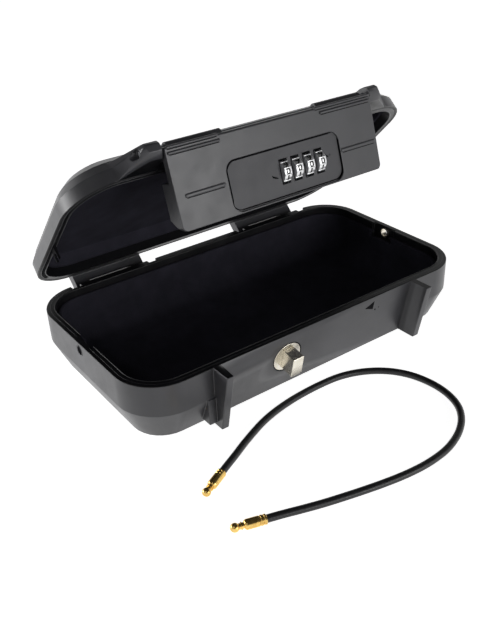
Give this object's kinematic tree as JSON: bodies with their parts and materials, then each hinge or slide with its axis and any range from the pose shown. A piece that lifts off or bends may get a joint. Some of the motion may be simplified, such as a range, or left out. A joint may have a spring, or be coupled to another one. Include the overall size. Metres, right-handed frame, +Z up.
{
  "type": "portable safe",
  "caption": "Moulded portable safe with a hinged lid, a swinging lock flap with number wheels that shuts over a striker, foam lining and a plug-in security cable",
  "frame": {"origin": "the middle of the base's flat underside", "axes": "+X runs to the right along the box's length, the front with the lock flap faces -Y, and +Z is up; the lid stands open"},
  "size_m": [0.24, 0.2479, 0.1479],
  "materials": {
    "shell": "satin moulded plastic, almost black",
    "liner": "matt black closed-cell foam",
    "seal": "soft black rubber",
    "nickel": "nickel-plated, slightly warm",
    "steel": "bright zinc-plated steel",
    "wheel": "silver with black numbers",
    "cable": "satin black vinyl coat",
    "brass": "bright brass"
  },
  "bodies": {
    "base": {"base_shell": "shell", "base_liner": "liner", "striker_plate": "nickel", "striker_post": "nickel", "striker_nut": "steel", "cable_eyelet_left": "nickel", "cable_eyelet_right": "nickel", "hinge_pin_left": "steel", "hinge_pin_right": "steel", "security_cable": "cable", "cable_ferrule_a": "brass", "cable_ferrule_b": "brass"},
    "lid": {"lid_shell": "shell", "lid_liner": "liner", "rim_seal": "seal"},
    "pivot_pin": {"flap_pivot_pin": "steel"},
    "flap": {"flap_housing": "shell", "flap_back_plate": "steel", "back_plate_screws": "steel", "wheel_spindle": "steel", "detent_spring": "steel", "latch_spring": "steel"},
    "wheel_1": {"number_wheel_1": "wheel", "wheel_cam_1": "steel"},
    "wheel_2": {"number_wheel_2": "wheel", "wheel_cam_2": "steel"},
    "wheel_3": {"number_wheel_3": "wheel", "wheel_cam_3": "steel"},
    "wheel_4": {"number_wheel_4": "wheel", "wheel_cam_4": "steel"},
    "latch": {"latch_slide": "steel"},
    "reset": {"reset_dial": "nickel"}
  },
  "joints": [
    {"name": "lid_hinge", "type": "hinge", "parent": "base", "child": "lid", "pos_m": [0, 0.07, 0.0285], "axis": [-1, 0, 0], "range_deg": [-46, 9]},
    {"name": "flap_pin_turn", "type": "hinge", "parent": "lid", "child": "pivot_pin", "pos_m": [0, -0.01825, 0.14292], "axis": [1, 0, 0], "range_deg": [-46, 9]},
    {"name": "flap_hinge", "type": "hinge", "parent": "pivot_pin", "child": "flap", "pos_m": [0, -0.01825, 0.14292], "axis": [-1, 0, 0], "range_deg": [-29, 66]},
    {"name": "wheel_1_turn", "type": "hinge", "parent": "flap", "child": "wheel_1", "pos_m": [0.0007, -0.02876, 0.11644], "axis": [1, 0, 0], "continuous": true},
    {"name": "wheel_2_turn", "type": "hinge", "parent": "flap", "child": "wheel_2", "pos_m": [0.009, -0.02876, 0.11644], "axis": [1, 0, 0], "continuous": true},
    {"name": "wheel_3_turn", "type": "hinge", "parent": "flap", "child": "wheel_3", "pos_m": [0.0173, -0.02876, 0.11644], "axis": [1, 0, 0], "continuous": true},
    {"name": "wheel_4_turn", "type": "hinge", "parent": "flap", "child": "wheel_4", "pos_m": [0.0256, -0.02876, 0.11644], "axis": [1, 0, 0], "continuous": true},
    {"name": "latch_travel", "type": "slide", "parent": "flap", "child": "latch", "axis": [-1, 0, 0], "range_m": [0, 0.003], "stiffness_N_per_m": 150},
    {"name": "reset_turn", "type": "hinge", "parent": "flap", "child": "reset", "pos_m": [0.05, -0.02171, 0.11469], "axis": [0, 0.9557, -0.2942], "range_deg": [0, 90]}
  ],
  "couplings": [
    {"joint": "flap_pin_turn", "follows": "lid_hinge", "ratio": 1}
  ]
}
